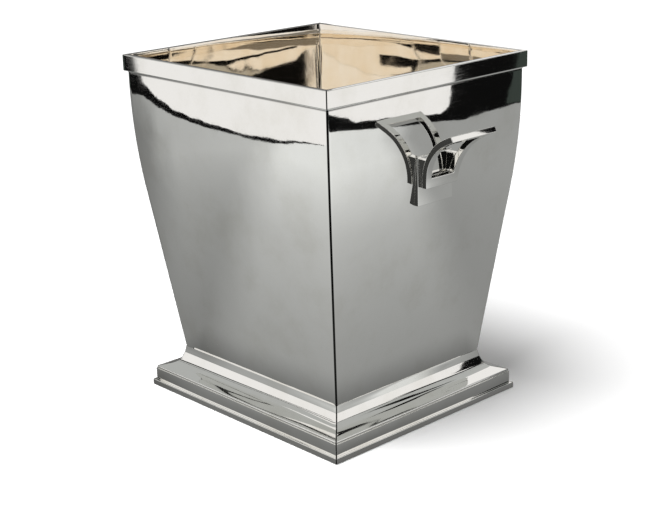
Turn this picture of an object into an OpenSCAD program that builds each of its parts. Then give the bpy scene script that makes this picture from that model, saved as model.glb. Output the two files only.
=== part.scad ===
// Square tapering champagne bucket in polished silver plate, gilt inside.
// Four mitred wall sheets stand on a floor plate. A mitred rim band runs
// round the mouth, a mitred moulding and plinth carry the foot, and a curved
// openwork lug handle is soldered to each of the two narrower faces.
// Millimetres, +Z up, base on z = 0, handles on +X and -X.

/* [Bucket] */
// overall height of the bucket
bucket_height = 240; // [180:1:300]
// width over the rim, from handle face to handle face
rim_width = 202; // [160:1:260]
// depth over the rim, across the handle faces
rim_depth = 182; // [150:1:240]
// thickness of the wall sheet
wall_thickness = 1.6; // [1.2:0.1:3]
// how far below the rim top the inward curve of the walls starts
curve_drop = 17; // [12:1:60]
// radius of the inward curve of the walls
curve_radius = 600; // [300:10:900]
// lean of the straight lower part of the walls, in degrees
wall_lean = 7.4; // [3:0.1:10]
// thickness of the floor plate
floor_thickness = 1.8; // [1.2:0.1:4]

/* [Rim] */
// height of the rim band
rim_height = 11; // [6:0.5:20]
// how far the rim band stands proud of the walls
rim_proud = 2.2; // [1.2:0.1:5]
// rounding of the outer edges of the rim band
rim_round = 0.5; // [0.2:0.05:1]

/* [Foot] */
// height of the foot, from the table to the bottom of the walls
foot_height = 29; // [22:0.5:45]
// how far the plinth stands outside the bottom of the walls
foot_spread = 18; // [12:0.5:30]
// height of the flat band at the top of the foot moulding
band_height = 4.6; // [3:0.1:8]
// how far that flat band stands proud of the walls
band_proud = 0.6; // [0.3:0.1:2]
// height of the steep face below the band
bell_height = 7.2; // [4:0.1:12]
// how far the steep face spreads outward
bell_spread = 3.4; // [2:0.1:6]
// radius of the hollow where the steep face turns outward
cove_radius = 5; // [2:0.1:8]
// height of the rounded nose at the outer edge of the moulding
nose_height = 1.6; // [1:0.1:3]
// height of the plinth
plinth_height = 12.4; // [8:0.1:20]
// height of the bottom fillet of the plinth
fillet_height = 4; // [2:0.1:7]
// how far the bottom fillet stands outside the plinth face
fillet_proud = 2; // [1:0.1:4]
// thickness of the metal in the foot
foot_metal = 3; // [2:0.1:5]

/* [Handles] */
// height of the back plate
plate_height = 32; // [24:0.5:45]
// width of the back plate
plate_width = 32; // [24:0.5:45]
// thickness of the back plate at its top edge
plate_edge = 1; // [0.8:0.1:3]
// how far below the rim top the bottom of the back plate sits
plate_drop = 86; // [70:0.5:120]
// how far the handles sit from the middle of their face, toward +Y
handle_shift = 3.5; // [0:0.1:8]
// thickness of the curved strap
strap_thickness = 3.9; // [2.5:0.1:6]
// radius of the outward curve of the strap
strap_radius = 35; // [28:0.5:50]
// angle through which the strap curves
strap_turn = 65; // [40:1:75]
// length of the straight end of the strap
strap_end = 8; // [4:0.5:16]
// width of the strap at the bottom
strap_low_width = 29.5; // [24:0.5:40]
// width of the strap at the tip
strap_tip_width = 40.5; // [30:0.5:55]
// how far above the bottom of the back plate the strap starts
strap_rise = 12; // [4:0.5:20]
// gap between back plate and strap at the bottom, filled by the spacer
strap_standoff = 2; // [1.5:0.1:6]
// height of the spacer between back plate and strap
spacer_height = 19; // [12:0.5:26]
// how far the sides of the spacer are set in from the strap
spacer_inset = 0.8; // [0.3:0.1:2]
// width of the two side legs left beside the window of the strap
leg_width = 5.2; // [3.5:0.1:9]
// length of strap left below the window
low_bar = 6.5; // [4:0.1:12]
// length of strap left beyond the window, at the tip
tip_bar = 6; // [4:0.1:12]

/* [Hidden] */
// number of flats in each rounded edge of a section
round_steps = 8;
// number of flats where the back plate follows the wall
fit_steps = 16;
// number of flats along the bend of the strap
bend_steps = 26;
// a length longer than any piece of the handle
reach = 120;
// offsets are measured outward from the outer face of the rim band
wall_top_out = -rim_proud;
curve_top = bucket_height - curve_drop;
curve_low = curve_top - curve_radius * sin(wall_lean);
curve_low_out = wall_top_out - curve_radius * (1 - cos(wall_lean));
foot_out = curve_low_out - (curve_low - foot_height) * tan(wall_lean);
plinth_out = foot_out + foot_spread;
face_out = plinth_out - fillet_proud;
nose_out = face_out - rim_round;
bell_top_z = foot_height - band_height;
bell_low_z = bell_top_z - bell_height;
band_out = foot_out + band_proud;
bell_out = band_out + bell_spread;
nose_top_z = plinth_height + nose_height;
ledge_z = foot_height - floor_thickness;
lean_thickness = wall_thickness / cos(wall_lean);
mitre_reach = min(rim_width, rim_depth) * 0.45;
mitre_spare = 10;
// handle levels and offsets
plate_low = bucket_height - plate_drop;
plate_top = plate_low + plate_height;
plate_out = wall_out(plate_top) + plate_edge;
strap_low = plate_low + strap_rise;
strap_in_out = plate_out + strap_standoff;
strap_out = strap_in_out + strap_thickness;
strap_back = strap_radius + strap_thickness;
bend_out = strap_out + strap_radius;
chord_tilt = strap_turn / 2;
chord_length = 2 * strap_radius * sin(chord_tilt) + strap_end * cos(chord_tilt);
window_low_turn = low_bar / strap_radius * 180 / PI;
window_end = strap_end - tip_bar;

// outward offset of the outer wall face at height z
function wall_out(z) =
    z >= curve_top ? wall_top_out :
    z <= curve_low ? curve_low_out - (curve_low - z) * tan(wall_lean) :
    wall_top_out - curve_radius
        + sqrt(curve_radius * curve_radius - (curve_top - z) * (curve_top - z));

function unit(v) = v / norm(v);
function short_turn(a) = a > 180 ? a - 360 : a < -180 ? a + 360 : a;

// points of one corner [x, y, radius] of an outline, between its neighbours
function corner(before, at, after) =
    at[2] == 0 ? [[at[0], at[1]]] :
    let (
        p = [at[0], at[1]],
        u = unit([before[0], before[1]] - p),
        v = unit([after[0], after[1]] - p),
        half = acos(u * v) / 2,
        hub = p + unit(u + v) * at[2] / sin(half),
        from = p + u * at[2] / tan(half) - hub,
        to = p + v * at[2] / tan(half) - hub,
        a = atan2(from[1], from[0]),
        turn = short_turn(atan2(to[1], to[0]) - a)
    )
    [for (i = [0:round_steps]) hub + at[2] * [
        cos(a + turn * i / round_steps), sin(a + turn * i / round_steps)]];

// closed outline from corners [x, y, radius]
function outline(c) = let (n = len(c)) [
    for (i = [0:n - 1]) each corner(c[(i + n - 1) % n], c[i], c[(i + 1) % n])];

// section of a wall: upright at the top, a true arc, then a straight lean
module wall_section() {
    translate([wall_top_out - wall_thickness, curve_top])
        square([wall_thickness, curve_drop]);
    translate([wall_top_out - curve_radius, curve_top])
        intersection() {
            difference() {
                circle(r = curve_radius, $fn = 720);
                circle(r = curve_radius - wall_thickness, $fn = 720);
            }
            polygon([
                [0, 0], [2 * curve_radius, 0],
                2 * curve_radius * [cos(wall_lean), -sin(wall_lean)]
            ]);
        }
    polygon([
        [foot_out, foot_height], [curve_low_out, curve_low],
        [curve_low_out - wall_thickness * cos(wall_lean),
         curve_low + wall_thickness * sin(wall_lean)],
        [foot_out - lean_thickness, foot_height]
    ]);
}

module rim_section() {
    polygon(outline([
        [0, bucket_height - rim_height, rim_round],
        [0, bucket_height, rim_round],
        [-rim_proud, bucket_height, 0],
        [-rim_proud, bucket_height - rim_height, 0]
    ]));
}

// flat band, steep face, hollow, apron and rounded nose; hollow underneath
module moulding_section() {
    polygon(outline([
        [foot_out, foot_height, 0],
        [band_out, foot_height, rim_round / 2],
        [band_out, bell_top_z, 0],
        [bell_out, bell_low_z, cove_radius],
        [nose_out, nose_top_z, nose_height * 0.6],
        [nose_out, plinth_height, 0],
        [nose_out - foot_metal, plinth_height, 0],
        [bell_out - foot_metal, bell_low_z - foot_metal, 0],
        [foot_out - foot_metal, bell_top_z - foot_metal / 2, 0],
        [foot_out - foot_metal, ledge_z, 0],
        [foot_out, ledge_z, 0]
    ]));
}

module plinth_section() {
    polygon(outline([
        [plinth_out, 0, rim_round],
        [plinth_out, fillet_height, rim_round],
        [face_out, fillet_height, 0],
        [face_out, plinth_height, rim_round / 2],
        [face_out - foot_metal, plinth_height, 0],
        [face_out - foot_metal, 0, 0]
    ]));
}

// one straight strip with the section of its child, cut at 45 degrees at both
// ends; half is half the rim length of its side, away is where the rim face is
module side_strip(half, away) {
    translate([away, 0, 0])
        intersection() {
            rotate([90, 0, 0])
                linear_extrude(height = 2 * (half + mitre_spare), center = true)
                    children();
            linear_extrude(height = bucket_height)
                polygon([
                    [mitre_spare, half + mitre_spare],
                    [mitre_spare, -half - mitre_spare],
                    [-mitre_reach, mitre_reach - half],
                    [-mitre_reach, half - mitre_reach]
                ]);
        }
}

module right_strip() side_strip(rim_depth / 2, rim_width / 2) children();
module back_strip() rotate(90) side_strip(rim_width / 2, rim_depth / 2) children();
module left_strip() mirror([1, 0, 0]) right_strip() children();
module front_strip() mirror([0, 1, 0]) back_strip() children();

module silver() color([0.80, 0.81, 0.80]) children();
module cast_silver() color([0.70, 0.72, 0.72]) children();
module gilt() color([0.85, 0.72, 0.48]) children();

module wall_front() silver() front_strip() wall_section();
module wall_right() silver() right_strip() wall_section();
module wall_back() silver() back_strip() wall_section();
module wall_left() silver() left_strip() wall_section();

module rim_front() cast_silver() front_strip() rim_section();
module rim_right() cast_silver() right_strip() rim_section();
module rim_back() cast_silver() back_strip() rim_section();
module rim_left() cast_silver() left_strip() rim_section();

module moulding_front() cast_silver() front_strip() moulding_section();
module moulding_right() cast_silver() right_strip() moulding_section();
module moulding_back() cast_silver() back_strip() moulding_section();
module moulding_left() cast_silver() left_strip() moulding_section();

module plinth_front() silver() front_strip() plinth_section();
module plinth_right() silver() right_strip() plinth_section();
module plinth_back() silver() back_strip() plinth_section();
module plinth_left() silver() left_strip() plinth_section();

// the walls stand on the floor plate, which lies in the rebate of the moulding
module floor_plate() {
    gilt()
        translate([0, 0, ledge_z + floor_thickness / 2])
            cube([rim_width + 2 * foot_out, rim_depth + 2 * foot_out,
                  floor_thickness], center = true);
}

// handle pieces are drawn with x = 0 on the rim face and y = 0 at their middle
module across(width) {
    rotate([90, 0, 0])
        linear_extrude(height = width, center = true)
            children();
}

// tapering outline of the strap, square to its chord; trim narrows each side
module strap_outline(trim, low, high) {
    low_half = strap_low_width / 2 - trim;
    slope = (strap_tip_width - strap_low_width) / 2 / chord_length;
    translate([strap_out, 0, strap_low])
        rotate([0, chord_tilt, 0])
            rotate([90, 0, 90])
                linear_extrude(height = reach, center = true)
                    polygon([
                        [-low_half - slope * low, low], [low_half + slope * low, low],
                        [low_half + slope * high, high], [-low_half - slope * high, high]
                    ]);
}

// a face of the bent strap seen from the side: r is its distance from the
// centre of the bend; it starts at from_turn and ends past the bend
function on_bend(r, turn) = [bend_out - r * cos(turn), strap_low + r * sin(turn)];
function bent_face(r, from_turn, end_length) = [
    for (i = [0:bend_steps])
        on_bend(r, from_turn + (strap_turn - from_turn) * i / bend_steps),
    on_bend(r, strap_turn) + end_length * [sin(strap_turn), cos(strap_turn)]
];
function back(points) = [for (i = [len(points) - 1:-1:0]) points[i]];

// the thickness of the strap; spare is added on both faces for cutting tools
module bent_strip(from_turn, end_length, spare) {
    polygon([
        each bent_face(strap_radius - spare, from_turn, end_length),
        each back(bent_face(strap_back + spare, from_turn, end_length))
    ]);
}

// the back plate is fitted to the curve of the wall behind it
module handle_plate() {
    cast_silver()
        across(plate_width)
            polygon([
                [plate_out, plate_low], [plate_out, plate_top],
                for (i = [0:fit_steps])
                    let (z = plate_top - plate_height * i / fit_steps) [wall_out(z), z]
            ]);
}

// the spacer fills the gap behind the lower part of the strap
module handle_spacer() {
    cast_silver()
        difference() {
            intersection() {
                across(plate_width)
                    difference() {
                        translate([plate_out, strap_low])
                            square([strap_radius, spacer_height]);
                        polygon([
                            [reach, strap_low], each bent_face(strap_back, 0, strap_end),
                            [reach, strap_low + strap_back]
                        ]);
                    }
                strap_outline(spacer_inset, -reach / 2, reach);
            }
            strap_window();
        }
}

module strap_window() {
    intersection() {
        across(strap_tip_width)
            bent_strip(window_low_turn, window_end, strap_thickness * 2);
        strap_outline(leg_width, -reach / 2, reach);
    }
}

module handle_strap() {
    cast_silver()
        difference() {
            intersection() {
                across(strap_tip_width * 2)
                    bent_strip(0, strap_end, 0);
                strap_outline(0, -reach / 2, reach);
            }
            strap_window();
        }
}

module on_right() translate([rim_width / 2, handle_shift, 0]) children();
module on_left() mirror([1, 0, 0]) on_right() children();

module handle_right_plate() on_right() handle_plate();
module handle_right_spacer() on_right() handle_spacer();
module handle_right_strap() on_right() handle_strap();
module handle_left_plate() on_left() handle_plate();
module handle_left_spacer() on_left() handle_spacer();
module handle_left_strap() on_left() handle_strap();

wall_front();
wall_right();
wall_back();
wall_left();
floor_plate();
rim_front();
rim_right();
rim_back();
rim_left();
moulding_front();
moulding_right();
moulding_back();
moulding_left();
plinth_front();
plinth_right();
plinth_back();
plinth_left();
handle_right_plate();
handle_right_spacer();
handle_right_strap();
handle_left_plate();
handle_left_spacer();
handle_left_strap();
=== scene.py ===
import math

import bmesh
import bpy
from mathutils import Matrix, Quaternion, Vector


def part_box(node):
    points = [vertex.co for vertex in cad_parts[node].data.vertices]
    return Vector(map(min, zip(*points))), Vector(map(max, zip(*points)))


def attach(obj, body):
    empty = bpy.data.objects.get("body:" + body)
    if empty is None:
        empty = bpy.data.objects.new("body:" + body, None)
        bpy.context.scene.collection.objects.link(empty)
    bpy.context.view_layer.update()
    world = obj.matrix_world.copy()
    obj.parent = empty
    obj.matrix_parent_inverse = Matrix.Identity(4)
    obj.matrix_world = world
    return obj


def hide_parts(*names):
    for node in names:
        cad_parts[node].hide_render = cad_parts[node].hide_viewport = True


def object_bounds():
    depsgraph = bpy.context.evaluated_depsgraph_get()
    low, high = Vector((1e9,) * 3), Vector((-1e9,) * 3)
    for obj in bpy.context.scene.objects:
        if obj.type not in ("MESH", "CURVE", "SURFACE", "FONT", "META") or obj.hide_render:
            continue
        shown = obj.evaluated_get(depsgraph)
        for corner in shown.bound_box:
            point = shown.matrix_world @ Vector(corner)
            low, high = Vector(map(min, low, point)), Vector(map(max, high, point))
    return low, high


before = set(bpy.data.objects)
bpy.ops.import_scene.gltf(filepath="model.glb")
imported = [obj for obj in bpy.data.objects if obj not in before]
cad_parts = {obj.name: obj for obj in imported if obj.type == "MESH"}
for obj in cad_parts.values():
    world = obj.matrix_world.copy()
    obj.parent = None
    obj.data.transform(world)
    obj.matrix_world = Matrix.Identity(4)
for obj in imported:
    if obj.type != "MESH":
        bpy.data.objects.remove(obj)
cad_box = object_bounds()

MM = 0.001

# ---------------------------------------------------------------- sizes, in mm
HALF_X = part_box("rim_right")[1].x / MM          # rim face on the handle sides
HALF_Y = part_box("rim_back")[1].y / MM           # rim face on the plain sides
TOP = cad_box[1].z / MM
RIM_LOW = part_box("rim_front")[0].z / MM
FOOT_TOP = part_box("wall_front")[0].z / MM
PLINTH_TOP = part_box("plinth_front")[1].z / MM
FLOOR_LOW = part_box("floor_plate")[0].z / MM
PLINTH_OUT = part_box("plinth_right")[1].x / MM - HALF_X
NOSE_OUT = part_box("moulding_right")[1].x / MM - HALF_X
FOOT_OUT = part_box("floor_plate")[1].x / MM - HALF_X

# offsets called "out" are measured outward from the rim face
RIM_PROUD = 2.2
SHEET = 1.6                                     # wall thickness
CORNER_ROUND = 1.3                              # of the walls' upright outer edges
CURVE_DROP = 17.0
CURVE_RADIUS = 600.0
LEAN = math.radians(7.4)
BAND = (0.6, 4.6)                               # proud of the wall, height
BAND_LEAN = (0.56, 0.35)                        # its top leans in, its foot stands out
BELL = (3.4, 7.2)                               # spread, height
COVE = 9.0                                      # radius of the hollow under the band
NOSE = 1.6
FILLET = (2.0, 4.0)                             # proud of the plinth, height
FOOT_METAL = 3.0

CURVE_TOP = TOP - CURVE_DROP
CURVE_LOW = CURVE_TOP - CURVE_RADIUS * math.sin(LEAN)
CURVE_LOW_OUT = -RIM_PROUD - CURVE_RADIUS * (1 - math.cos(LEAN))


def wall_out(z):
    """Offset of the outer wall face at a height."""
    if z >= CURVE_TOP:
        return -RIM_PROUD
    if z <= CURVE_LOW:
        return CURVE_LOW_OUT - (CURVE_LOW - z) * math.tan(LEAN)
    return math.sqrt(CURVE_RADIUS ** 2 - (CURVE_TOP - z) ** 2) - CURVE_RADIUS - RIM_PROUD


# ------------------------------------------------------------- node expressions
class Wire:
    """A value in a node tree. Arithmetic on it adds Math nodes; node() adds any other."""

    def __init__(self, tree, socket=None):
        self.tree, self.socket = tree, socket

    def node(self, kind, settings=None, inputs=None, out=0):
        """Adds a node of any kind and gives one of its outputs."""
        made = self.tree.nodes.new(kind)
        for name, value in (settings or {}).items():
            setattr(made, name, value)
        for name, value in (inputs or {}).items():
            if isinstance(value, Wire):
                self.tree.links.new(value.socket, made.inputs[name])
            else:
                made.inputs[name].default_value = value
        return Wire(self.tree, made.outputs[out])

    def other(self, out):
        """Another output of the same node."""
        return Wire(self.tree, self.socket.node.outputs[out])

    def math(self, operation, *values, clamp=False):
        return self.node("ShaderNodeMath", {"operation": operation, "use_clamp": clamp},
                         dict(enumerate(values)))

    def __add__(self, o): return self.math("ADD", self, o)
    def __radd__(self, o): return self.math("ADD", o, self)
    def __sub__(self, o): return self.math("SUBTRACT", self, o)
    def __rsub__(self, o): return self.math("SUBTRACT", o, self)
    def __mul__(self, o): return self.math("MULTIPLY", self, o)
    def __rmul__(self, o): return self.math("MULTIPLY", o, self)
    def __truediv__(self, o): return self.math("DIVIDE", self, o)
    def __rtruediv__(self, o): return self.math("DIVIDE", o, self)
    def __abs__(self): return self.math("ABSOLUTE", self)

    def clamp(self):
        return self.math("ADD", self, 0, clamp=True)

    def ease(self, low, high):
        """0 below low, 1 above high, smooth between."""
        return self.node("ShaderNodeMapRange", {"interpolation_type": "SMOOTHSTEP"},
                         {"Value": self, "From Min": low, "From Max": high})

    def mix(self, tone_a, tone_b):
        """Colour a where this is 0 and colour b where it is 1."""
        return self.node("ShaderNodeMix", {"data_type": "RGBA"},
                         {0: self, 6: rgba(tone_a), 7: rgba(tone_b)}, 2)


def rgba(tone):
    """A colour with its alpha, for a socket that wants four values."""
    return tone if isinstance(tone, Wire) else tuple(tone) + (1.0,) * (4 - len(tone))


# ------------------------------------------------- mitred strips, by geometry nodes
CORNER_STEPS = 6                                # round each mitred end
RIPPLE = {"Scale": 26.0, "Detail": 1.0, "Roughness": 0.4}
STILL_END = 0.03                                # metres from a mitre where the ripple fades
WELD = 1e-6                                     # metres
SAME_POINT = 1e-7                               # metres


def mitred_strip_tree():
    """Sweeps a section along one side of the bucket and mitres both its ends.

    A section point is (out, edge round, height). The side faces -Y before its turn. The
    attribute "strip" holds how far along the strip a point is, with the turn added so that
    sides differ, how far across it, and 0 to 1 toward the seam at its end.
    """
    tree = bpy.data.node_groups.new("mitred_strip", "GeometryNodeTree")
    tree.is_modifier = True
    face = tree.interface
    face.new_socket("Geometry", in_out="INPUT", socket_type="NodeSocketGeometry")
    for name, kind in (("Half Length", "Float"), ("Depth", "Float"), ("Turn", "Float"),
                       ("Ripple", "Float"), ("Seed", "Float"), ("Steps", "Int"),
                       ("Material", "Material")):
        face.new_socket(name, in_out="INPUT", socket_type="NodeSocket" + kind)
    face.new_socket("Geometry", in_out="OUTPUT", socket_type="NodeSocketGeometry")
    start = Wire(tree).node("NodeGroupInput")
    given = {s.name: start.other(s.name) for s in start.socket.node.outputs if s.name}
    steps, count = given["Steps"], start.node(
        "GeometryNodeAttributeDomainSize", {"component": "MESH"},
        {"Geometry": given["Geometry"]}, "Point Count")
    grid = start.node("GeometryNodeMeshGrid", {}, {
        "Size X": count - 1, "Size Y": 2.0, "Vertices X": count, "Vertices Y": steps})
    here = start.node("GeometryNodeInputPosition")
    spot = here.node("ShaderNodeSeparateXYZ", {}, {0: here})
    nearest = spot.other("X") + (count - 1) / 2 + 0.5
    index = nearest.math("FLOOR", nearest) + 0.25
    section = start.node("GeometryNodeSampleIndex",
                         {"data_type": "FLOAT_VECTOR", "domain": "POINT"},
                         {"Geometry": given["Geometry"], "Value": here, "Index": index})
    point = section.node("ShaderNodeSeparateXYZ", {}, {0: section})
    out, edge, height = point.other("X"), point.other("Y"), point.other("Z")
    along = spot.other("Y")
    share = 2 * CORNER_STEPS / (steps - 1)
    reach = abs(along)
    flat = reach / (1 - share)
    flat = flat.math("MINIMUM", flat, 1)
    seam = ((reach - 1 + share) / share).clamp()
    arc = seam * (math.pi / 4)
    length = given["Half Length"] + out
    side = along.math("SIGN", along) * (
        (length - edge) * flat + edge * arc.math("SINE", arc))
    inward = edge * (1 - arc.math("COSINE", arc))
    place = start.node("ShaderNodeCombineXYZ", {}, {
        "X": side, "Y": given["Seed"], "Z": height})
    swell = start.node("ShaderNodeTexNoise", {"noise_dimensions": "3D"}, {
        "Vector": place, **RIPPLE})
    fade = ((length - abs(side)) / STILL_END).clamp()
    wave = (swell - 0.5) * given["Ripple"] * fade
    moved = start.node("ShaderNodeCombineXYZ", {}, {
        "X": side, "Y": inward - given["Depth"] - out - wave, "Z": height})
    turned = start.node("ShaderNodeVectorRotate", {"rotation_type": "Z_AXIS"}, {
        "Vector": moved, "Angle": given["Turn"]})
    mark = start.node("ShaderNodeCombineXYZ", {}, {
        "X": side + given["Turn"], "Y": out - height, "Z": seam})
    marked = start.node("GeometryNodeStoreNamedAttribute",
                        {"data_type": "FLOAT_VECTOR", "domain": "POINT"},
                        {"Geometry": grid, "Name": "strip", "Value": mark})
    shaped = start.node("GeometryNodeSetPosition", {}, {
        "Geometry": marked, "Position": turned})
    joined = start.node("GeometryNodeMergeByDistance", {}, {
        "Geometry": shaped, "Distance": WELD})
    smooth = start.node("GeometryNodeSetShadeSmooth", {}, {"Geometry": joined})
    real = start.node("GeometryNodeRealizeInstances", {}, {"Geometry": smooth})
    made = start.node("GeometryNodeSetMaterial", {}, {
        "Geometry": real, "Material": given["Material"]})
    end = tree.nodes.new("NodeGroupOutput")
    tree.links.new(made.socket, end.inputs[0])
    return tree


STRIP_TREE = mitred_strip_tree()
SIDES = {                                       # name: half length, depth, turn
    "front": (HALF_X, HALF_Y, 0.0),
    "right": (HALF_Y, HALF_X, math.pi / 2),
    "back": (HALF_X, HALF_Y, math.pi),
    "left": (HALF_Y, HALF_X, -math.pi / 2),
}


def rounded(corners, steps=8, guard=0.1):
    """Closed outline of (out, height) points from corners (out, height, round).

    guard is how far beyond each rounding a point holds the flat beside it.
    """
    points = []
    for i, (x, z, r) in enumerate(corners):
        at = Vector((x, z))
        before = Vector(corners[i - 1][:2])
        after = Vector(corners[(i + 1) % len(corners)][:2])
        u, v = (before - at).normalized(), (after - at).normalized()
        if not r:
            points.append(at)
            continue
        half = u.angle(v) / 2
        hub = at + (u + v).normalized() * r / math.sin(half)
        start, end = at + u * r / math.tan(half) - hub, at + v * r / math.tan(half) - hub
        sweep = start.angle_signed(end)
        points.append(hub + start + u * guard)
        for k in range(steps + 1):
            turn = -sweep * k / steps
            c, s = math.cos(turn), math.sin(turn)
            points.append(hub + Vector((start.x * c - start.y * s, start.x * s + start.y * c)))
        points.append(hub + end + v * guard)
    return points


def subdivided(points, longest):
    """The same closed outline with no run longer than longest."""
    out = []
    for a, b in zip(points, points[1:] + points[:1]):
        parts = max(1, math.ceil((b - a).length / longest))
        out += [a.lerp(b, k / parts) for k in range(parts)]
    return out


def plain_mesh(obj, name):
    """Replaces obj by a plain, closed, outward-facing mesh object of what it shows."""
    bpy.context.view_layer.update()
    shown = obj.evaluated_get(bpy.context.evaluated_depsgraph_get())
    mesh = bpy.data.meshes.new_from_object(shown)
    bpy.data.objects.remove(obj)
    return finished(mesh, name)


def finished(mesh, name, crease=32):
    """Closes a mesh, turns its faces outward and makes its object.

    Edges that turn by more than crease degrees stay sharp.
    """
    work = bmesh.new()
    work.from_mesh(mesh)
    bmesh.ops.remove_doubles(work, verts=work.verts, dist=SAME_POINT)
    open_edges = [e for e in work.edges if e.is_boundary]
    if open_edges:
        bmesh.ops.holes_fill(work, edges=open_edges, sides=0)
    bmesh.ops.recalc_face_normals(work, faces=work.faces)
    for f in work.faces:
        f.smooth = True
    work.to_mesh(mesh)
    work.free()
    mesh.name = name
    if mesh.materials and mesh.materials[0] is None:
        mesh.materials.pop(index=0)
    mesh.set_sharp_from_angle(angle=math.radians(crease))
    obj = bpy.data.objects.new(name, mesh)
    bpy.context.scene.collection.objects.link(obj)
    return obj


def strip(name, side, outline, material, steps, ripple, seed):
    """One mitred strip of the bucket from its closed outline [(out, height, edge round)].

    steps is the number of points along it, and ripple the depth of its waves in mm.
    """
    half, depth, turn = SIDES[side]
    mesh = bpy.data.meshes.new(name + "_section")
    mesh.from_pydata([(x * MM, r * MM, z * MM) for x, z, r in outline + outline[:1]], [], [])
    obj = bpy.data.objects.new(name + "_section", mesh)
    bpy.context.scene.collection.objects.link(obj)
    sweep = obj.modifiers.new("sweep", "NODES")
    sweep.node_group = STRIP_TREE
    ports = {s.name: s.identifier for s in STRIP_TREE.interface.items_tree
             if s.in_out == "INPUT"}
    for label, value in (("Half Length", half * MM), ("Depth", depth * MM), ("Turn", turn),
                         ("Ripple", ripple * MM), ("Seed", seed), ("Steps", steps),
                         ("Material", material)):
        sweep[ports[label]] = value
    return plain_mesh(obj, name)


def mount(piece, node):
    """The piece rides with the bucket and stands for a CAD node, which it hides."""
    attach(piece, "root")
    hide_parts(node)


# -------------------------------------------------------------------- materials
def metal(name):
    """A new all-metal material: (material, its shader, a starting wire, a position wire)."""
    material = bpy.data.materials.new(name)
    material.use_nodes = True
    tree = material.node_tree
    shader = tree.nodes["Principled BSDF"]
    shader.inputs["Metallic"].default_value = 1.0
    start = Wire(tree)
    return material, shader, start, start.node("ShaderNodeTexCoord", out="Object")


def noise(at, scale, detail=2.0, rough=0.5, stretch=None):
    """Soft random pattern from 0 to 1."""
    if stretch:
        at = at.node("ShaderNodeMapping", {}, {"Vector": at, "Scale": stretch})
    return at.node("ShaderNodeTexNoise", {"noise_dimensions": "3D"}, {
        "Vector": at, "Scale": scale, "Detail": detail, "Roughness": rough})


# near-black of tarnished mitred seams, and of the painted shade under the rim
SEAM_TARNISH_AND_RIM_SHADE = (0.03, 0.03, 0.028)
SEAM_EDGE = (0.1, 0.4)                          # where the dark of a seam starts, is full
# how far the painted shade under the rim goes toward that near-black
PAINTED_RIM_SHADE = 0.75
GRAIN_FILM = 0.12                               # how much the finest grain adds to the film
HAZE_ROUGH, SPECK_ROUGH, TARNISH_AND_SHADE_ROUGH = 0.02, 0.03, 0.15
SMALL_WAVES = 0.12                              # small planishing waves, as a share of broad
LINE_DEPTH, SPECK_DEPTH = 0.0008, 0.0006        # mm


def polished(name, clean, dull, gloss, planish, brush, film=0.25, draw=0.0, recess=None,
             seam_dark=1.0):
    """Hand-polished plate: gentle planishing waves, polishing lines and a faint film.

    gloss is the least roughness. planish and draw are the depths in mm of the planishing
    waves and of the long marks left by drawing a strip. Mitred seams are tarnished by
    seam_dark. All metal above the recess is darkened the same way with painted shade, the
    dark line under the rim; the recess's two heights are where that starts and where it is full.
    """
    material, shader, start, at = metal(name)
    strip_at = start.node("ShaderNodeAttribute", {"attribute_name": "strip"}, out="Vector")
    seam = strip_at.node("ShaderNodeSeparateXYZ", {}, {0: strip_at}).other("Z")
    tarnish_and_painted_shade = seam.ease(*SEAM_EDGE) * seam_dark
    # painted shade: the sheet above the recess heights is darkened as if shaded by the rim
    if recess:
        height = at.node("ShaderNodeSeparateXYZ", {}, {0: at}).other("Z")
        above = height.ease(recess[0] * MM, recess[1] * MM)
        tarnish_and_painted_shade = tarnish_and_painted_shade.math("MAXIMUM", tarnish_and_painted_shade, above * PAINTED_RIM_SHADE)
    grain = noise(at, 900, detail=2, rough=0.7)
    haze = noise(at, 30, detail=4, rough=0.6).ease(0.42, 0.78)
    specks = noise(at, 420, detail=2, rough=0.6).ease(0.62, 0.8)
    lines = noise(at, 55, detail=3, rough=0.7, stretch=(1, 1, 26))
    tone = (haze * film + grain * GRAIN_FILM).mix(clean, dull)
    # seams, and the painted shade under the rim where a recess is given, are mixed toward
    # near-black
    tone = tarnish_and_painted_shade.mix(tone, SEAM_TARNISH_AND_RIM_SHADE)
    start.tree.links.new(tone.socket, shader.inputs["Base Color"])
    rough = gloss + haze * HAZE_ROUGH + specks * SPECK_ROUGH
    rough = rough + lines.ease(0.45, 0.75) * brush + tarnish_and_painted_shade * TARNISH_AND_SHADE_ROUGH
    start.tree.links.new(rough.socket, shader.inputs["Roughness"])
    broad = noise(at, 34, detail=1, rough=0.4) * planish
    small = noise(at, 95, detail=2, rough=0.5) * planish * SMALL_WAVES
    marks = noise(strip_at, 7, detail=1, rough=0.4, stretch=(1, 9, 1)) * draw
    surface = broad + small + marks + lines * LINE_DEPTH + specks * SPECK_DEPTH
    bump = start.node("ShaderNodeBump", {}, {
        "Strength": 1.0, "Distance": MM, "Height": surface})
    start.tree.links.new(bump.socket, shader.inputs["Normal"])
    return material


SILVER_CLEAN = (0.95, 0.945, 0.925)
SILVER_FILM = (0.66, 0.64, 0.56)
GILT_CLEAN = (0.985, 0.967, 0.935)
GILT_FILM = (0.92, 0.83, 0.70)
SILVER = (SILVER_CLEAN, SILVER_FILM)
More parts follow.
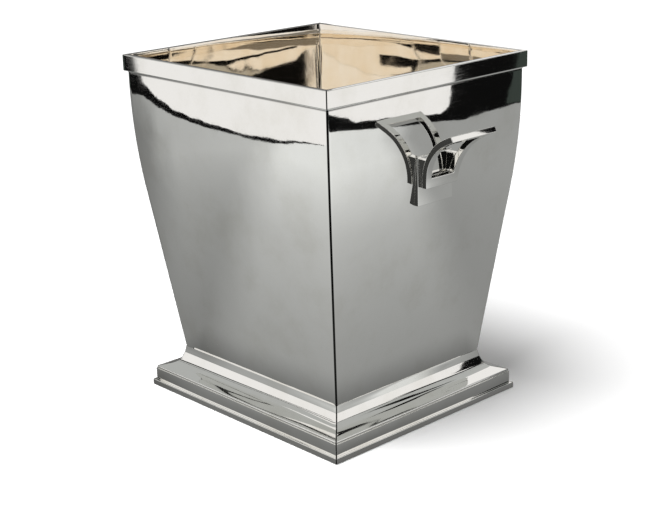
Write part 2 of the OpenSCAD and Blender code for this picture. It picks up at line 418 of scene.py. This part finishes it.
# the recess heights put the painted shade just under the rim
sheet_silver = polished("planished_silver_sheet", *SILVER, gloss=0.02, planish=0.10,
                        brush=0.02, recess=(RIM_LOW - 2.3, RIM_LOW - 1.1))
moulded_silver = polished("drawn_silver_rim", *SILVER, gloss=0.03, planish=0.05, brush=0.03)
foot_silver = polished("drawn_silver_foot", *SILVER, gloss=0.03, planish=0.04, brush=0.03,
                       draw=1.4)
handle_silver = polished("cast_silver_handle", *SILVER, gloss=0.025, planish=0.03, brush=0.03)
gilding = polished("gilt_wash", GILT_CLEAN, GILT_FILM, gloss=0.015, planish=0.05, brush=0.01,
                   film=0.4, seam_dark=0.3)


# ------------------------------------------------------------------------ walls
STRAIGHT_STEPS, CURVE_STEPS = 30, 40            # up the leaning part and up the curve
WALL_STEPS = 110                                # along each wall
INNER_ROUND = 0.9                               # of the upright edges inside
DENTS = 0.10                                    # depth of the ripple left in a wall sheet
GILT_DEPTH = 0.55 * SHEET                       # the wash starts this far in from the face
BARE_LIP = 0.15                                 # and this far below the top


def wall_outline():
    """Closed section of a wall sheet, from its foot up the outer face and down inside."""
    outer, inner = [], []
    heights = [FOOT_TOP + k * (CURVE_LOW - FOOT_TOP) / STRAIGHT_STEPS
               for k in range(STRAIGHT_STEPS)]
    heights += [CURVE_LOW + k * (CURVE_TOP - CURVE_LOW) / CURVE_STEPS
                for k in range(CURVE_STEPS + 1)]
    for z in heights:
        turn = LEAN if z <= CURVE_LOW else math.asin((CURVE_TOP - z) / CURVE_RADIUS)
        outer.append(Vector((wall_out(z), z)))
        inner.append(Vector((wall_out(z) - SHEET * math.cos(turn), z + SHEET * math.sin(turn))))
    outer[0] = Vector((FOOT_OUT, FOOT_TOP))
    inner[0] = Vector((FOOT_OUT - SHEET / math.cos(LEAN), FOOT_TOP))
    lip = rounded([(-RIM_PROUD, CURVE_TOP, 0), (-RIM_PROUD, TOP, 0.1),
                   (-RIM_PROUD - SHEET, TOP, 0.3), (-RIM_PROUD - SHEET, CURVE_TOP, 0)],
                  steps=5)[1:-1]
    outside = [(p.x, p.y, CORNER_ROUND) for p in outer]
    top = [(p.x, p.y, CORNER_ROUND) for p in subdivided(lip, 2.0)[:-1]]
    inside = [(p.x, p.y, INNER_ROUND) for p in reversed(inner)]
    return outside + top + inside


def gild_inside(piece, side):
    """Gives the inner face of a wall sheet its gilt wash."""
    _, depth, turn = SIDES[side]
    facing = Vector((math.sin(turn), -math.cos(turn), 0))
    piece.data.materials.append(gilding)
    for f in piece.data.polygons:
        out = f.center.dot(facing) / MM - depth
        z = f.center.z / MM
        inner_face = out < wall_out(z) - GILT_DEPTH and z < TOP - BARE_LIP
        if inner_face and len(f.vertices) < 5:  # a face of 5 or more closes an end
            f.material_index = 1


for number, side in enumerate(SIDES):
    wall = strip("wall_sheet_" + side, side, wall_outline(), sheet_silver,
                 steps=WALL_STEPS, ripple=DENTS, seed=number)
    gild_inside(wall, side)
    mount(wall, "wall_" + side)

# ---------------------------------------------------------- rim, moulding, plinth
SOLDER = 0.9                                    # fillet left under the rim
STRIP_ROUND = 0.7                               # of the strips' upright edges
STRIP_STEPS = 60                                # along each strip
STRIP_SEED = 9.0
LONGEST = 1.0                                   # longest run in a strip's outline
solder_arc = [(-RIM_PROUD + SOLDER * (1 - math.sin(a)), RIM_LOW - SOLDER * (1 - math.cos(a)), 0)
              for a in (math.pi / 2 * k / 6 for k in range(7))]
rim = rounded([*reversed(solder_arc), (0, RIM_LOW, 0.5), (0, TOP, 0.5),
               (-RIM_PROUD, TOP, 0.12)])
band_out = FOOT_OUT + BAND[0]
bell_top = FOOT_TOP - BAND[1]
bell_low = bell_top - BELL[1]
bell_out = band_out + BELL[0]
moulding = rounded([
    (FOOT_OUT, FOOT_TOP, 0), (band_out - BAND_LEAN[0], FOOT_TOP, 0),
    (band_out + BAND_LEAN[1], bell_top, 0.25),
    (bell_out, bell_low, COVE), (NOSE_OUT, PLINTH_TOP + NOSE, NOSE * 0.6),
    (NOSE_OUT, PLINTH_TOP, 0.15), (NOSE_OUT - FOOT_METAL, PLINTH_TOP, 0),
    (bell_out - FOOT_METAL, bell_low - FOOT_METAL, 0),
    (FOOT_OUT - FOOT_METAL, bell_top - FOOT_METAL / 2, 0),
    (FOOT_OUT - FOOT_METAL, FLOOR_LOW, 0), (FOOT_OUT, FLOOR_LOW, 0)])
face_out = PLINTH_OUT - FILLET[0]
plinth = rounded([
    (PLINTH_OUT, 0, 0.5), (PLINTH_OUT, FILLET[1], 0.5), (face_out, FILLET[1], 0.2),
    (face_out, PLINTH_TOP, 0.25), (face_out - FOOT_METAL, PLINTH_TOP, 0),
    (face_out - FOOT_METAL, 0, 0)])
for side in SIDES:
    for name, outline, metal_used, ripple in (("rim", rim, moulded_silver, 0.0),
                                              ("moulding", moulding, foot_silver, 0.02),
                                              ("plinth", plinth, foot_silver, 0.02)):
        points = [(p.x, p.y, STRIP_ROUND) for p in subdivided(outline, LONGEST)]
        piece = strip(f"{name}_strip_{side}", side, points, metal_used,
                      steps=STRIP_STEPS, ripple=ripple, seed=STRIP_SEED)
        mount(piece, f"{name}_{side}")


# ------------------------------------------------------------------------ handles
PLATE_LOW, PLATE_TOP = (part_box("handle_right_plate")[i].z / MM for i in (0, 1))
PLATE_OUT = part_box("handle_right_plate")[1].x / MM - HALF_X
PLATE_SIDES = [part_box("handle_right_plate")[i].y / MM for i in (0, 1)]
HANDLE_Y = sum(PLATE_SIDES) / 2
STRAP_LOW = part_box("handle_right_strap")[0].z / MM
STRAP_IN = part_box("handle_right_strap")[0].x / MM - HALF_X
SPACER_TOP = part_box("handle_right_spacer")[1].z / MM
STRAP_THICK = 3.9
BEND = 35.0                                     # radius of the strap's outer face
STRAP_TURN = math.radians(65)
STRAP_END = 8.0
LOW_WIDTH, TIP_WIDTH = 29.5, 40.5
LEG, LOW_BAR, TIP_BAR = 5.2, 6.5, 6.0
SPACER_INSET = 0.8
PLATE_EDGE, SPACER_EDGE, STRAP_EDGE = 0.3, 0.25, 0.45   # how far edges are rounded
HUB = STRAP_IN + STRAP_THICK + BEND
TILT = STRAP_TURN / 2
CHORD = 2 * BEND * math.sin(TILT) + STRAP_END * math.cos(TILT)


def on_bend(radius, turn, beyond=0.0):
    """(out, height) of a strap face at a turn, or that far beyond the end of the bend."""
    return (HUB - radius * math.cos(turn) + beyond * math.sin(turn),
            STRAP_LOW + radius * math.sin(turn) + beyond * math.cos(turn))


def half_width(out, z, trim=0.0):
    """Half the strap's width: it widens evenly along the chord of the bend."""
    along = (out - HUB + BEND) * math.sin(TILT) + (z - STRAP_LOW) * math.cos(TILT)
    return LOW_WIDTH / 2 - trim + (TIP_WIDTH - LOW_WIDTH) / 2 * along / CHORD


def barred_solid(name, rows, open_rows, trim, side, edge):
    """A solid with a window: rows of (front, back) points, each split in three across.

    Rows in open_rows have no middle part above them. Edges are softened by edge.
    """
    work = bmesh.new()
    grid = []
    for front, back in rows:
        layer = []
        for out, z in (front, back):
            outer, inner = half_width(out, z, trim), half_width(out, z, LEG)
            x = side * (HALF_X + out) * MM
            layer.append([work.verts.new((x, (HANDLE_Y + y) * MM, z * MM))
                          for y in (-outer, -inner, inner, outer)])
        grid.append(layer)
    cells = {(i, j) for i in range(len(rows) - 1) for j in range(3)
             if j != 1 or i not in open_rows}
    for i, j in cells:
        for layer in (0, 1):
            work.faces.new([grid[i][layer][j], grid[i][layer][j + 1],
                            grid[i + 1][layer][j + 1], grid[i + 1][layer][j]])
        for away, pair in (((i - 1, j), ((i, j), (i, j + 1))),
                           ((i + 1, j), ((i + 1, j), (i + 1, j + 1))),
                           ((i, j - 1), ((i, j), (i + 1, j))),
                           ((i, j + 1), ((i, j + 1), (i + 1, j + 1)))):
            if away not in cells:
                (a, b), (c, d) = pair
                work.faces.new([grid[a][0][b], grid[c][0][d], grid[c][1][d], grid[a][1][b]])
    return softened(work, name, edge)


def softened(work, name, edge):
    """Rounds the hard edges of a bmesh and makes its object."""
    bmesh.ops.recalc_face_normals(work, faces=work.faces)
    hard = [e for e in work.edges if e.is_manifold and e.calc_face_angle() > math.radians(25)]
    bmesh.ops.bevel(work, geom=hard, offset=edge * MM, segments=4, profile=0.5,
                    affect="EDGES", clamp_overlap=True)
    mesh = bpy.data.meshes.new(name)
    work.to_mesh(mesh)
    work.free()
    obj = finished(mesh, name, 60)
    firm = obj.modifiers.new("flat faces stay flat", "WEIGHTED_NORMAL")
    firm.keep_sharp = True
    firm.weight = 100
    return obj


def strap_rows():
    """Rows of the curved strap from its foot to its tip, and which of them are open."""
    window_low = LOW_BAR / BEND
    turns = [window_low * k / 6 for k in range(6)]
    turns += [window_low + (STRAP_TURN - window_low) * k / 36 for k in range(37)]
    rows = [(on_bend(BEND, t), on_bend(BEND + STRAP_THICK, t)) for t in turns]
    for beyond in (STRAP_END - TIP_BAR, STRAP_END):
        rows.append((on_bend(BEND, STRAP_TURN, beyond),
                     on_bend(BEND + STRAP_THICK, STRAP_TURN, beyond)))
    return rows, range(6, len(rows) - 2)


def spacer_rows():
    """Rows of the spacer between the plate and the strap, and which of them are open."""
    back = BEND + STRAP_THICK
    window_low = LOW_BAR / BEND
    top_turn = math.asin((SPACER_TOP - STRAP_LOW) / back)
    foot = on_bend(back, window_low)
    sill = foot[1] + (foot[0] - PLATE_OUT) * math.tan(window_low)
    rows = []
    for k in range(5):
        rows.append((on_bend(back, window_low * k / 4),
                     (PLATE_OUT, STRAP_LOW + (sill - STRAP_LOW) * k / 4)))
    for k in range(1, 13):
        turn = window_low + (top_turn - window_low) * k / 12
        rows.append((on_bend(back, turn), (PLATE_OUT, sill + (SPACER_TOP - sill) * k / 12)))
    return rows, range(4, len(rows) - 1)


def back_plate(name, side):
    """Flat-faced plate whose back follows the curve of the wall."""
    work = bmesh.new()
    steps = 16
    ring = [(PLATE_OUT, PLATE_LOW), (PLATE_OUT, PLATE_TOP)]
    ring += [(wall_out(z), z) for z in
             (PLATE_TOP - (PLATE_TOP - PLATE_LOW) * k / steps for k in range(steps + 1))]
    ends = [[work.verts.new((side * (HALF_X + out) * MM, y * MM, z * MM)) for out, z in ring]
            for y in PLATE_SIDES]
    work.faces.new(ends[0])
    work.faces.new(ends[1])
    for i in range(len(ring)):
        j = (i + 1) % len(ring)
        work.faces.new([ends[0][i], ends[0][j], ends[1][j], ends[1][i]])
    return softened(work, name, PLATE_EDGE)


for hand, side in (("right", 1), ("left", -1)):
    for part, piece in (
            ("plate", back_plate(f"back_plate_{hand}", side)),
            ("spacer", barred_solid(f"spacer_block_{hand}", *spacer_rows(), SPACER_INSET,
                                    side, SPACER_EDGE)),
            ("strap", barred_solid(f"curved_strap_{hand}", *strap_rows(), 0.0, side,
                                   STRAP_EDGE))):
        piece.data.materials.append(handle_silver)
        mount(piece, f"handle_{hand}_{part}")


# -------------------------------------------------------------------------- floor
def ringed_plate(name, rings):
    """A plate from rectangular rings (out, height, corner round), closed at both ends."""
    work = bmesh.new()
    loops = []
    for out, z, r in rings:
        x, y = HALF_X + out - r, HALF_Y + out - r
        loop = []
        for corner, (sx, sy) in enumerate(((1, 1), (-1, 1), (-1, -1), (1, -1))):
            for k in range(5):
                a = math.pi / 2 * (corner + k / 4)
                loop.append(work.verts.new(((sx * x + r * math.cos(a)) * MM,
                                            (sy * y + r * math.sin(a)) * MM, z * MM)))
        loops.append(loop)
    for a, b in zip(loops, loops[1:]):
        for i in range(len(a)):
            j = (i + 1) % len(a)
            work.faces.new([a[i], a[j], b[j], b[i]])
    work.faces.new(loops[0])
    work.faces.new(loops[-1])
    mesh = bpy.data.meshes.new(name)
    work.to_mesh(mesh)
    work.free()
    return finished(mesh, name)


# rings from the underside out and up, then in over a top that dips toward the middle
floor = ringed_plate("floor_sheet", [
    (FOOT_OUT - 0.3, FLOOR_LOW, 0.8), (FOOT_OUT, FLOOR_LOW + 0.3, 0.8),
    (FOOT_OUT, FOOT_TOP - 0.02, 0.8), (FOOT_OUT - 0.05, FOOT_TOP, 0.8),
    (FOOT_OUT - 2.2, FOOT_TOP, 2), (FOOT_OUT - 6, FOOT_TOP - 0.02, 4),
    (FOOT_OUT - 20, FOOT_TOP - 0.12, 12), (FOOT_OUT - 45, FOOT_TOP - 0.2, 16)])
floor.data.materials.append(gilding)
mount(floor, "floor_plate")


# ------------------------------------------------------------------------- camera
def back_direction(azimuth, elevation):
    """From the bucket toward the camera."""
    a, e = math.radians(azimuth), math.radians(elevation)
    return Vector((math.sin(a) * math.cos(e), -math.cos(a) * math.cos(e), math.sin(e)))


middle = (cad_box[0] + cad_box[1]) / 2
VIEW = (47.11, 17.89)
VIEW_ROLL = math.radians(-1.47)
VIEW_DISTANCE = 0.9939
AIM_SHIFT = Vector((0.0023, 0.0025, -0.0275))
LENS, SENSOR = 76.9, 36.0                       # mm
NEAREST = 0.05
aim = middle + AIM_SHIFT
away = back_direction(*VIEW)
lens = bpy.data.cameras.new("camera")
lens.lens = LENS
lens.sensor_width = SENSOR
lens.clip_start = NEAREST
camera = bpy.data.objects.new("camera", lens)
camera.location = aim + away * VIEW_DISTANCE
camera.rotation_mode = "QUATERNION"
camera.rotation_quaternion = away.to_track_quat("Z", "Y") @ Quaternion((0, 0, 1), VIEW_ROLL)
bpy.context.scene.collection.objects.link(camera)
bpy.context.scene.camera = camera

# ------------------------------------------------------------------------- studio
scene = bpy.context.scene
scene.view_settings.view_transform = "Standard"
scene.cycles.max_bounces = 20                   # the gilt walls mirror one another
scene.cycles.glossy_bounces = 16


def plane(name, size, z):
    """A level square about the middle, part of the stage."""
    mesh = bpy.data.meshes.new(name)
    mesh.from_pydata([(i * size / 2, j * size / 2, z)
                      for i, j in ((-1, -1), (1, -1), (1, 1), (-1, 1))], [], [(0, 1, 2, 3)])
    obj = bpy.data.objects.new(name, mesh)
    scene.collection.objects.link(obj)
    return obj


# the pale floor that the camera sees, and that takes the soft shadow
floor_paint = bpy.data.materials.new("pale_floor")
floor_paint.use_nodes = True
paint = floor_paint.node_tree.nodes["Principled BSDF"]
paint.inputs["Base Color"].default_value = (0.86, 0.86, 0.86, 1)
paint.inputs["Roughness"].default_value = 1.0
paint.inputs["Specular IOR Level"].default_value = 0.0
FLOOR_SIZE, FLOOR_GAP = 1.6, 0.0002             # the gap keeps it clear of the foot
studio_floor = plane("studio_floor", FLOOR_SIZE, -FLOOR_GAP)
studio_floor.data.materials.append(floor_paint)
studio_floor.visible_glossy = False

# what the silver mirrors: a table top, and standing cards round it, seen by gloss alone
TENT = 0.75                                     # from the middle of the bucket to the cards
EDGE = TENT                                     # half the width of a side of the tent
SEAM_LINE = 0.007                               # where white and dim cards meet at the back
TOWARD = {"left": -134, "front": -44, "right": 46, "back": 136}


def mirrored_only(obj, paint):
    """Paints an object and hides it from all rays but glossy ones."""
    obj.data.materials.append(paint)
    for ray in ("camera", "diffuse", "transmission", "volume_scatter", "shadow"):
        setattr(obj, "visible_" + ray, False)


def glowing(name, tone, strength):
    """An emission material. strength is a number, or a function of the position wire."""
    material = bpy.data.materials.new(name)
    material.use_nodes = True
    tree = material.node_tree
    tree.nodes.clear()
    start = Wire(tree)
    if callable(strength):
        strength = strength(start.node("ShaderNodeTexCoord", out="Object"))
    glow = start.node("ShaderNodeEmission", {}, {"Color": rgba(tone), "Strength": strength})
    shown = tree.nodes.new("ShaderNodeOutputMaterial")
    tree.links.new(glow.socket, shown.inputs["Surface"])
    return material


EDGE_WAY = (0.6236, -0.7979)                    # across the slanting edge of the bright part
FRONT_WAY = (0.7325, -0.6807)                   # toward the near corner
RIGHT_WAY = (0.73, 0.68)                        # toward the right of it
FOOT_HALF = (0.097, 0.087)                      # half the sides of the foot, in metres
# painted shadow in the mirrored table's glow: its level behind the slanting edge, the share left
# at the foot (a painted contact shadow) and the darkening of the painted dark wedge
BEHIND_LIGHT = 0.26                             # of the table behind the slanting edge
LIFT_SLOPE, LIFT_CAP = 1.05, 0.42               # how it brightens away from the foot
CONTACT_LIGHT = 0.55                            # share left where the foot meets the table
WEDGE_DARK = 0.93


def table_light(at):
    """Glow of the mirrored table, painted with light and shade: dim behind a slanting edge, a
    painted shadow, and brighter before it and away from the foot, with a painted contact shadow
    where the foot meets it.

    unlit is a painted dark wedge in front. evener corrects the level on each side of the middle.
    """
    spot = at.node("ShaderNodeSeparateXYZ", {}, {0: at})
    x, y = spot, spot.other("Y")
    before, forward, across = (x * way[0] + y * way[1]
                               for way in (EDGE_WAY, FRONT_WAY, RIGHT_WAY))
    gap_x, gap_y = abs(x) - FOOT_HALF[0], abs(y) - FOOT_HALF[1]
    gap = gap_x.math("MAXIMUM", gap_x, gap_y)
    lift = gap.math("MINIMUM", gap * LIFT_SLOPE, LIFT_CAP) * before.ease(-0.04, 0.01)
    level = BEHIND_LIGHT + lift * (0.74 + 0.26 * before.ease(0.0, 0.14))
    on_right = across.ease(-0.02, 0.02)
    unlit = forward.ease(0.20, 0.26) * (1 - abs(across).ease(0.20, 0.32))
    left_even = 0.80 + 0.37 * forward.ease(-0.025, 0.03)
    right_even = 1.05 + 0.23 * gap.ease(0.08, 0.35)
    evener = left_even * (1 - on_right) + right_even * on_right
    contact = CONTACT_LIGHT + (1 - CONTACT_LIGHT) * gap.ease(0.0, 0.04)
    return level * evener * contact * (1 - WEDGE_DARK * unlit)


def card(name, toward, corners, paint):
    """An upright card at the tent's distance, from its corners (across, height) in metres."""
    a = math.radians(TOWARD[toward])
    middle = Vector((math.cos(a), math.sin(a), 0)) * TENT
    along = Vector((-math.sin(a), math.cos(a), 0))
    mesh = bpy.data.meshes.new(name)
    points = [middle + along * w + Vector((0, 0, z)) for w, z in corners]
    mesh.from_pydata(points, [], [range(len(points))])
    obj = bpy.data.objects.new(name, mesh)
    scene.collection.objects.link(obj)
    mirrored_only(obj, paint)


def oblong(left, right, low, high):
    """Corners of a card with straight sides."""
    return [(left, low), (right, low), (right, high), (left, high)]


# the mirrored table glows with painted light and shade: a painted shadow and contact shadow
table_paint = glowing("mirrored_table", (0.985, 1.0, 0.985), table_light)
white_card = glowing("white_card", (1.0, 0.985, 0.97), 0.885)
grey_card = glowing("grey_card", (0.98, 1.0, 0.98), 0.45)
dim_card = glowing("dim_card", (1.0, 0.97, 0.93), 0.22)
dark_card = glowing("dark_green_card", (0.8, 1.0, 0.88), 0.05)
table = plane("mirrored_table_top", 2 * TENT, 0)
table.data.transform(Matrix.Rotation(math.radians(TOWARD["right"]), 4, "Z"))
mirrored_only(table, table_paint)
card("table_rise_left", "left", [
    (-EDGE, 0), (EDGE, -0.02), (0.06, -0.011), (0.0, 0.001), (-0.03, 0.008), (-0.06, 0.024),
    (-0.09, 0.040), (-0.12, 0.078), (-0.16, 0.09), (-EDGE, 0.10)], table_paint)
card("tent_left", "left", [
    (-0.118, 0.105), (-0.10, 0.072), (-0.085, 0.052), (-0.055, 0.033), (-0.02, 0.013),
    (0.02, 0.008), (0.09, 0.0), (EDGE, 0.0), (EDGE, 1.0), (0.08, 0.72), (0.05, 0.50),
    (0.04, 0.376), (-0.05, 0.368), (-0.10, 0.356), (-0.13, 0.346), (-0.20, 0.340), (-0.20, 0.30),
    (-0.135, 0.28)], white_card)
card("tent_over_left", "left", [
    (0.08, 0.72), (EDGE, 1.0), (EDGE, 1.6), (-EDGE, 1.6), (-EDGE, 1.05), (-0.3, 0.92)],
    white_card)
card("grey_over_left", "left", [
    (-EDGE, 0.525), (-0.10, 0.525), (-0.10, 0.60), (0.065, 0.62), (0.08, 0.72), (-0.3, 0.92),
    (-EDGE, 1.05)], grey_card)
card("grey_low_left", "left", [
    (-EDGE, 0.42), (-0.07, 0.41), (-0.02, 0.475), (0.05, 0.505), (-EDGE, 0.505)], grey_card)
card("white_mid_left", "left", [(-0.06, 0.405), (0.045, 0.405), (0.05, 0.50), (-0.02, 0.47)],
     white_card)
card("white_low_left", "left", [(-0.10, 0.53), (0.05, 0.53), (0.065, 0.62), (-0.10, 0.60)],
     white_card)
card("dark_left", "left", [(-EDGE, 0.10), (-0.155, 0.09), (-0.155, 0.3), (-EDGE, 0.3)], dark_card)
card("table_rise_right", "right", [
    (-EDGE, -0.01), (EDGE, -0.01), (EDGE, 0.06), (0.035, 0.052), (-0.01, 0.031),
    (-0.05, 0.028), (-0.14, 0.030), (-EDGE, 0.03)], table_paint)
card("tent_right", "right", [
    (-EDGE, 0.07), (-0.155, 0.066), (-0.14, 0.050), (-0.045, 0.046), (-0.038, 0.06),
    (-0.035, 0.13), (0.0, 0.30), (0.05, 0.33), (0.05, 0.362), (-0.055, 0.366),
    (-0.055, 0.42), (-0.02, 0.42), (-0.02, 0.485), (-0.065, 0.50), (-0.14, 0.62),
    (-EDGE, 0.64)], white_card)
card("grey_right", "right", [(0.02, 0.42), (EDGE, 0.42), (EDGE, 0.50), (0.0, 0.495)], grey_card)
card("dark_right", "right", [(0.028, 0.055), (EDGE, 0.06), (EDGE, 0.27), (0.04, 0.27)], dark_card)
card("dim_right", "right", [(0.06, 0.28), (EDGE, 0.28), (EDGE, 0.40), (0.085, 0.40)], dim_card)
card("grey_over_right", "right", [(0.0, 0.49), (EDGE, 0.55), (EDGE, 1.11), (0.0, 0.53)],
     grey_card)
card("grey_high_right", "right", [
    (-EDGE, 0.68), (-0.14, 0.66), (-0.05, 0.545), (0.1, 0.545), (0.12, 0.75), (EDGE, 1.0),
    (EDGE, 1.5), (-EDGE, 1.5)], grey_card)
card("tent_front", "front", [(-EDGE, 0.16), (0.02, 0.16), (0.045, 0.42), (0.2, 0.42), (0.3, 0.6),
                             (-EDGE, 0.6)], white_card)
card("tent_back", "back", oblong(-EDGE, SEAM_LINE, 0.03, 0.9), white_card)
card("grey_over_back", "back", [(-EDGE, 0.9), (SEAM_LINE, 0.9), (SEAM_LINE, 0.55), (EDGE, 0.55),
                                (EDGE, 1.32), (0.0, 1.32), (-0.1, 1.22), (-EDGE, 1.22)], grey_card)
card("tent_top_back", "back", oblong(-EDGE, EDGE, 1.36, 1.9), white_card)
card("dim_back", "back", oblong(SEAM_LINE, EDGE, 0.03, 0.55), dim_card)

world = bpy.data.worlds.new("studio")
scene.world = world
world.use_nodes = True
sky = world.node_tree
sky.nodes.clear()
start = Wire(sky)
look = start.node("ShaderNodeTexCoord", out="Generated")
rise = look.node("ShaderNodeSeparateXYZ", {}, {0: look}).other("Z")
over = 0.004 + 0.5 * rise.ease(0.72, 0.90)      # a dark room under a dim ceiling
path = start.node("ShaderNodeLightPath", out="Is Camera Ray")
glossy = path.other("Is Glossy Ray")
mirrored = start.node("ShaderNodeBackground", {}, {"Color": (1, 1, 1, 1), "Strength": over})
room = 0.36 + path * 0.84                       # light on the floor, and a white backdrop
plain = start.node("ShaderNodeBackground", {}, {"Color": (1, 1, 1, 1), "Strength": room})
seen = start.node("ShaderNodeMixShader", {}, {0: glossy, 1: plain, 2: mirrored})
shown = sky.nodes.new("ShaderNodeOutputWorld")
sky.links.new(seen.socket, shown.inputs["Surface"])

KEY_SIZE, KEY_POWER = 2.4, 200.0                # metres, watts
KEY_PLACE, KEY_TARGET = Vector((-0.235, -1.35, 3.6)), Vector((0, 0, 0.1))
key = bpy.data.lights.new("soft_key", "AREA")
key.shape = "DISK"
key.size = KEY_SIZE
key.energy = KEY_POWER
key_light = bpy.data.objects.new("soft_key", key)
key_light.location = KEY_PLACE
key_light.rotation_mode = "QUATERNION"
key_light.rotation_quaternion = (KEY_PLACE - KEY_TARGET).to_track_quat("Z", "Y")
key_light.visible_glossy = False
scene.collection.objects.link(key_light)
